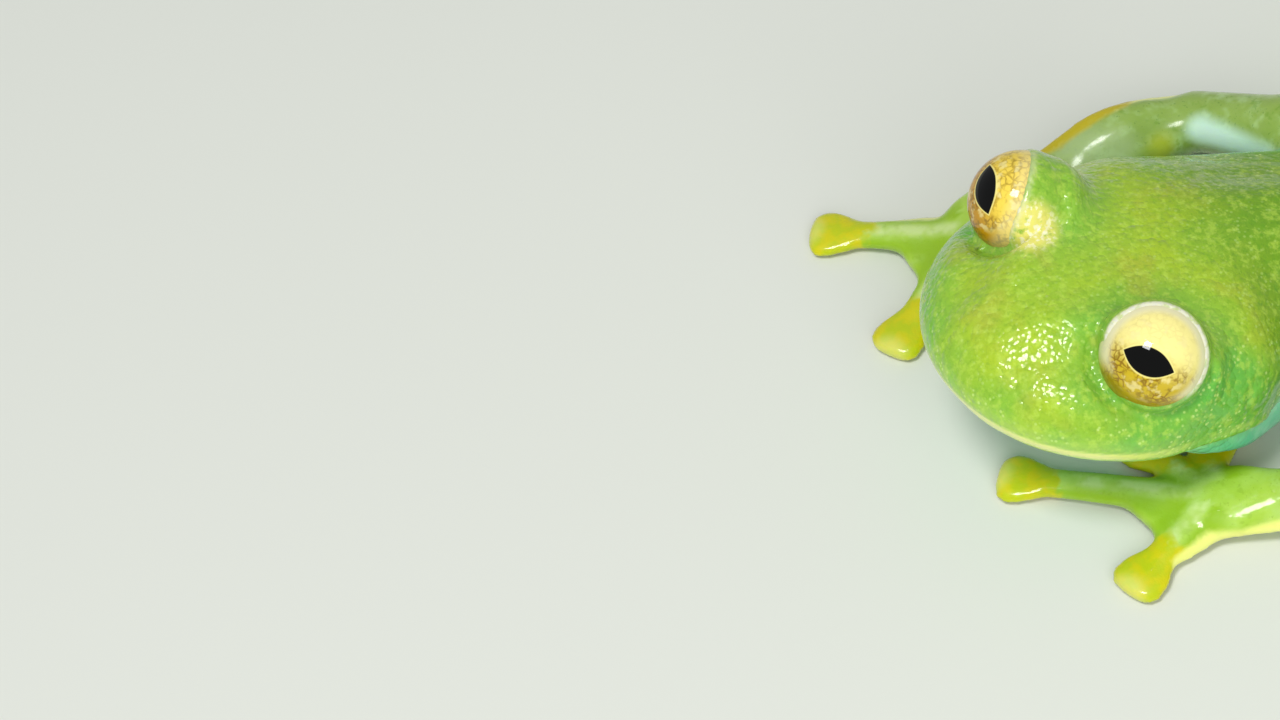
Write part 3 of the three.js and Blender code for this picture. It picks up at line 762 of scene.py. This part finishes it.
# Colours and nodes
def linear(hex_colour):
    """An sRGB hex colour as linear values."""
    channels = [int(hex_colour[k:k + 2], 16) / 255 for k in (1, 3, 5)]
    return (*(c / 12.92 if c <= 0.04045 else ((c + 0.055) / 1.055) ** 2.4 for c in channels), 1.0)


def new_material(name):
    """A material with its tree and its shader."""
    material = bpy.data.materials.new(name)
    material.use_nodes = True
    return material, material.node_tree, material.node_tree.nodes["Principled BSDF"]


def connect(tree, node, inputs):
    """Gives a node its inputs by name or number: a link, a value or a hex colour."""
    for key, value in inputs.items():
        if isinstance(value, bpy.types.NodeSocket):
            tree.links.new(value, node.inputs[key])
        else:
            node.inputs[key].default_value = linear(value) if isinstance(value, str) else value


def add(tree, kind, inputs, output=0, **settings):
    """Adds a node with its settings and links, and returns one of its outputs."""
    node = tree.nodes.new("ShaderNode" + kind)
    for key, value in settings.items():
        setattr(node, key, value)
    connect(tree, node, inputs)
    return node.outputs[output]


# Studio and camera
def make_camera():
    azimuth, elevation = math.radians(CAMERA_AZIMUTH), math.radians(CAMERA_ELEVATION)
    back = Vector((math.sin(azimuth) * math.cos(elevation), -math.cos(azimuth) * math.cos(elevation),
                   math.sin(elevation)))
    turn = (-back).to_track_quat("-Z", "Y") @ Quaternion((0, 0, 1), math.radians(-CAMERA_ROLL))
    focal = CAMERA_LENS * IMAGE_WIDTH / SENSOR_WIDTH
    aside = EYES_PIXEL[0] - IMAGE_WIDTH / 2
    above = IMAGE_HEIGHT / 2 - EYES_PIXEL[1]
    framing = Vector((aside, above, -focal)).rotation_difference(Vector((0, 0, -1)))
    bpy.ops.object.camera_add(location=(EYES_MIDDLE + back * CAMERA_DISTANCE) * MM)
    camera = bpy.context.active_object
    camera.rotation_mode = "QUATERNION"
    camera.rotation_quaternion = turn @ framing
    camera.data.lens = CAMERA_LENS
    camera.data.sensor_width = SENSOR_WIDTH
    camera.data.clip_start, camera.data.clip_end = CAMERA_CLIP
    bpy.context.scene.camera = camera


def softbox(name, facing, size, watts):
    """A square lamp over the frog, by the way it lies from the eyes and its width in millimetres."""
    place = EYES_MIDDLE + Vector(facing).normalized() * LAMP_DISTANCE
    bpy.ops.object.light_add(type="AREA", location=place * MM)
    lamp = bpy.context.active_object
    lamp.name = name
    lamp.rotation_euler = Vector(facing).to_track_quat("Z", "Y").to_euler()
    lamp.data.size = size * MM
    lamp.data.energy = watts
    return lamp


def make_studio():
    bpy.ops.mesh.primitive_plane_add(size=FLOOR_WIDTH, location=(0, 0, 0))
    floor = made("floor")

    # Uncoated paper scatters the light and shows no gloss, only the frog's soft shadow
    paper, tree, shader = new_material("pale matt paper")
    connect(tree, shader, {"Base Color": "#dcdfd6", "Roughness": 0.8})
    floor.data.materials.append(paper)
    world = bpy.data.worlds.new("studio")
    bpy.context.scene.world = world
    world.use_nodes = True
    connect(world.node_tree, world.node_tree.nodes["Background"], {"Color": "#f4f7fa", "Strength": 0.33})
    softbox("key", facing=(0.18, -0.25, 0.95), size=56, watts=0.23)
    fill = softbox("fill", facing=(0.8, -0.08, 0.55), size=150, watts=0.19)
    fill.visible_glossy = False
    bpy.context.scene.view_settings.view_transform = "Standard"


# Materials: patterns by name, as the kind of texture and its settings
PATTERNS = {
    "cloud": ("TexNoise", {"Detail": 2.0}),
    "fleck": ("TexNoise", {"Detail": 3.0}),
    "mottle": ("TexNoise", {"Detail": 3.0, "Roughness": 0.6}),
    "granule": ("TexVoronoi", {}),
}


def share_of(tree, where, *parts):
    """How far a colour covers what lies under it, as the product of its parts.

    A part is a number, a link, a region of the skin, or a pattern and its size in millimetres.
    Two numbers after it are brought softly to 0 and 1, or to the two numbers that follow them.
    Where holds the coordinates that patterns read, and how long a millimetre is in them.
    """
    vector, millimetre = where
    total = None
    for part in parts:
        value, *span = part if isinstance(part, tuple) else (part,)
        if value in PATTERNS:
            kind, inputs = PATTERNS[value]
            scale = 1 / (span.pop(0) * millimetre)
            value = add(tree, kind, {"Vector": vector, "Scale": scale, **inputs})
        elif isinstance(value, str):
            value = add(tree, "Attribute", {}, "Fac", attribute_name=value)
        if span:
            inputs = dict(enumerate([value, *span]))
            value = add(tree, "MapRange", inputs, interpolation_type="SMOOTHSTEP")
        if total is None:
            total = value
        else:
            total = add(tree, "Math", {0: total, 1: value}, operation="MULTIPLY")
    return total


def layered(tree, where, colour, *layers):
    """A colour with others laid over it, each with the parts of its share."""
    for over, *parts in layers:
        share = share_of(tree, where, *parts)
        colour = add(tree, "Mix", {0: share, 6: colour, 7: over}, 2, data_type="RGBA")
    return colour


def skin_material():
    """Living frog skin: thin, wet and translucent, green above, pale and glassy at the sides."""
    material, tree, shader = new_material("wet translucent frog skin")
    where = (add(tree, "TexCoord", {}, "Object"), MM)

    # Crown and discs have ragged edges
    crown, disc = share_of(tree, where, "crown"), share_of(tree, where, "disc")
    ragged = share_of(tree, where, ("cloud", 2.4, 0.3, 0.7, -0.35, 0.35))
    crown = add(tree, "Math", {0: crown, 1: ragged}, operation="ADD")
    ragged = share_of(tree, where, ("cloud", 0.5, 0.3, 0.7, -0.25, 0.25))
    disc = add(tree, "Math", {0: disc, 1: ragged}, operation="ADD")

    # Back yellow-green on the crown and greener down the sides, finely speckled light and dark, with a
    # painted highlight beside the right eye: a pale patch with white glints
    back = layered(
        tree, where, "#74be44",
        ("#adcb2c", (crown, 0, 1)),
        ("#609618", "trunk", 0.8),
        ("#52b048", "eye_ring", 0.45),
        ("#b2b63e", ("cloud", 1.3, 0.52, 0.7), ("trunk", 0, 1, 0.5, 0.15), "crown"),
        ("#c8e45a", ("mottle", 0.27, 0.47, 0.66, 0, 0.4)),
        ("#63a01e", ("mottle", 0.19, 0.5, 0.7), ("trunk", 0, 1, 0.3, 0.5)),
        ("#4f8a1a", ("cloud", 0.09, 0.5, 0.75), ("trunk", 0, 1, 0.15, 0.4)),
        ("#cdea86", ("granule", 0.17, 0.36, 0.14), ("cloud", 0.8, 0.4, 0.6), ("crown", 0.2, 0.9, 0.8, 0.3)),
        # Painted highlight beside the right eye: a pale yellow patch with white glints over it
        ("#ece678", "painted_eye_glints", ("fleck", 0.3, 0.25, 0.45)),
        ("#fbf8cf", "painted_eye_glints", ("cloud", 0.16, 0.48, 0.62, 0, 0.9)))

    # Limbs are pale glassy green with dark flecks, the arms painted darker olive as a painted shade, and
    # the discs are golden
    limb = layered(
        tree, where, "#a2ca4c",
        ("#b8dc6c", ("cloud", 0.8, 0.36, 0.64)),
        # Painted shade: upper arms and forearms darker olive, as if a dark ground showed through the thin
        # skin
        ("#88a44c", "arm", 0.75),
        ("#c2e4a0", ("cloud", 0.5, 0.46, 0.74, 0, 0.45)),
        ("#74a032", ("cloud", 0.28, 0.6, 0.72, 0, 0.5)),
        ("#5f8a34", ("cloud", 0.1, 0.64, 0.72, 0, 0.5)))
    side = layered(tree, where, "#66cfa0", ("#98e6bc", ("cloud", 1.2, 0.4, 0.6)))
    gold = layered(tree, where, "#d2cc08", ("#becb10", ("cloud", 0.4, 0.35, 0.65)))

    # Sides and throat lose the green to pale teal, the belly is white over the gut; then limbs, digits,
    # marks of the arms, among them a pale strip that is partly a painted highlight, lip and lids
    skin = layered(
        tree, where, back,
        (side, "flank"),
        ("#dde9d6", "belly"),
        (limb, "limb"),
        ("#b0d436", "digit", 0.5),
        ("#94bf0c", "fringe", 0.8),
        ("#d6eaa0", "bone", ("cloud", 0.6, 0.35, 0.6, 0.2, 0.8)),
        (gold, (disc, 0.25, 0.75)),
        ("#e8ec90", "disc_edge", 0.4),
        ("#b8cf98", "veil", 0.6),
        ("#bcc832", "arm_gold", 0.75),
        ("#f6f98c", "fold", 0.9),
        ("#c4b416", "streak"),
        # Pale strip on the right arm: partly pale tissue, partly a painted highlight of the wet skin
        ("#d8fae6", "tissue_and_painted_sheen"),
        ("#c6e86a", "lip_skirt", 0.4),
        ("#f6ff92", "lip"),
        ("#f4f4d4", "lid", ("cloud", 0.22, 0.34, 0.54, 0.45, 1)))

    # Granules 0.2 mm apart, fainter on the trunk and nearly gone on smooth skin, and a fine grain
    smooth = share_of(tree, where, "limb")
    for region in ("lid", "lip", "belly"):
        smooth = add(tree, "Math", {0: smooth, 1: share_of(tree, where, region)}, operation="MAXIMUM")
    granules = add(tree, "Math", {0: share_of(tree, where, ("granule", 0.2)), 1: 2.0}, operation="POWER")
    coarse = add(tree, "Bump", {
        "Height": share_of(tree, where, granules, ("cloud", 0.4, 0.3, 0.7, 0.5, 1.5)),
        "Strength": share_of(tree, where, (smooth, 0, 1, 1, 0.12), ("trunk", 0, 1, 1, 0.5)),
        "Distance": 0.032 * MM}, invert=True)
    fine = add(tree, "Bump", {
        "Height": share_of(tree, where, ("cloud", 0.06)),
        "Strength": 0.5, "Distance": 0.012 * MM, "Normal": coarse})

    # Thin skin full of water glows a little, and its wet film gives small sharp highlights, the
    # sharpest on the head; a middle value stands under the link of the film's roughness
    connect(tree, shader, {"Coat Roughness": 0.08})
    head_to_limb = share_of(tree, where, ("limb", 0, 1, 0.06, 0.11))
    connect(tree, shader, {
        "Base Color": skin, "Normal": fine, "Coat Normal": coarse, "Roughness": 0.45,
        "Specular IOR Level": 0.2, "Subsurface Weight": 0.35, "Subsurface Scale": 0.6 * MM,
        "Subsurface Radius": (1.0, 1.0, 0.3), "Coat Weight": 1.0, "Coat IOR": 1.41,
        "Coat Roughness": share_of(tree, where, ("arm", 0, 1, head_to_limb, 0.19))})
    return material


def eye_axes(eye):
    """Along the pupil, across it, and out through it."""
    out = along_head(*EYES[eye]["pupil"]).normalized()
    line = along_head(*EYES[eye]["line"])
    line = (line - out * line.dot(out)).normalized()
    across = out.cross(line)
    if across.z < 0:
        line, across = -line, -across
    return line, across, out


def eye_material(eye):
    """A frog's eye: gold iris netted with brown, and a level black pupil.

    The wet cornea over it is the coat, and gives the eye its sharp highlights.
    """
    material, tree, shader = new_material("golden eye " + eye)
    look = EYES[eye]
    ball = add(tree, "Mapping", {
        "Vector": add(tree, "TexCoord", {}, "Object"), "Location": EYE_PLACES[eye] * MM,
        "Rotation": Matrix(eye_axes(eye)).transposed().to_euler(),
        "Scale": (EYE_RADIUS * MM,) * 3}, vector_type="TEXTURE")
    along, across, out = add(tree, "SeparateXYZ", {0: ball}).node.outputs

    # Places are in radii of the ball, and the sizes of patterns in millimetres
    where = (ball, 1 / EYE_RADIUS)

    # The net is bent by noise; the opening of the lids is followed by pale and dark edges
    warp = add(tree, "TexNoise", {"Vector": ball, "Scale": EYE_RADIUS / NET_WAVE, "Detail": 2.0}, 1)
    warped = add(tree, "Mix", {0: NET_BEND, 4: ball, 5: warp}, 1, data_type="VECTOR")
    net = add(tree, "TexVoronoi", {"Vector": warped, "Scale": EYE_RADIUS * NET_CELLS}, "Distance",
              feature="DISTANCE_TO_EDGE")
    opening = along_head(*look["opening"]).normalized()
    opening = [opening.dot(axis) for axis in eye_axes(eye)]
    facing = add(tree, "VectorMath", {0: ball, 1: opening}, "Value", operation="DOT_PRODUCT")
    inner, outer = (math.cos(math.radians(look["width"] - step)) for step in (18, 4))

    # The pupil is a level lens
    lens = along
    for operation, *values in (("DIVIDE", PUPIL_LENGTH), ("ABSOLUTE",), ("POWER", PUPIL_ROUNDNESS),
                               ("MULTIPLY_ADD", -PUPIL_HEIGHT, PUPIL_HEIGHT)):
        lens = add(tree, "Math", dict(enumerate([lens, *values])), operation=operation)
    above = add(tree, "Math", {0: across}, operation="ABSOLUTE")
    pupil = add(tree, "Math", {0: lens, 1: above}, operation="SUBTRACT")

    # Deep gold below and cream above, brown net closest under the pupil, pale blots, the edges
    # along the lids, and the pupil with its thin pale line
    lower = share_of(tree, where, (across, 0.25, -0.2, look["net"], 0.9))
    front = share_of(tree, where, (out, 0.2, 0.3))
    iris_below, iris_above = look["iris"]
    iris = layered(
        tree, where, iris_below,
        (iris_above, (across, -0.35, 0.35)),
        ("#8a6312", (net, 0.22, 0.0), ("cloud", 0.45, 0.36, 0.6), lower),
        ("#8f7418", ("fleck", 0.195, 0.5, 0.68, 0, 0.75), lower),
        ("#f6e9a0", ("cloud", 0.3, 0.54, 0.66, 0, 0.6), (out, 0.6, 0.75)),
        ("#f7f3cc", (facing, inner, outer, 0, 0.8 * look["pale"]), (across, -0.62, -0.25)),
        ("#a08c12", (facing, inner, outer, 0, 0.8), (across, -0.4, -0.7)),
        ("#f9ee92", (pupil, -0.05, -0.02, 0, 0.8), front),
        ("#030302", (pupil, -0.012, 0.006), front))
    connect(tree, shader, {"Base Color": iris, "Roughness": 0.4, "Specular IOR Level": 0.0,
                           "Coat Weight": 1.0, "Coat Roughness": 0.03, "Coat IOR": 1.4})
    return material


def make_eye(eye):
    bpy.ops.object.select_all(action="DESELECT")
    turn = Matrix(eye_axes(eye)).transposed().to_euler()
    bpy.ops.mesh.primitive_uv_sphere_add(segments=96, ring_count=48, radius=EYE_RADIUS,
                                         location=EYE_PLACES[eye], rotation=turn)
    bpy.ops.object.transform_apply(location=True, rotation=True, scale=True)
    return made("eyeball_" + eye)


def finished(piece, material, nodes):
    """Brings a piece down to metres and sets it on the frame."""
    only(piece)
    bpy.ops.transform.resize(value=(MM, MM, MM), center_override=(0, 0, 0))
    bpy.ops.object.transform_apply(location=True, rotation=True, scale=True)
    bpy.ops.object.shade_smooth()
    piece.data.materials.append(material)
    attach(piece, "root")
    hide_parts(*nodes)


make_camera()
make_studio()
skin = make_skin()
paint_skin(skin)
finished(skin, skin_material(), FLESH)
for eye in EYES:
    finished(make_eye(eye), eye_material(eye), ["eye_" + eye])
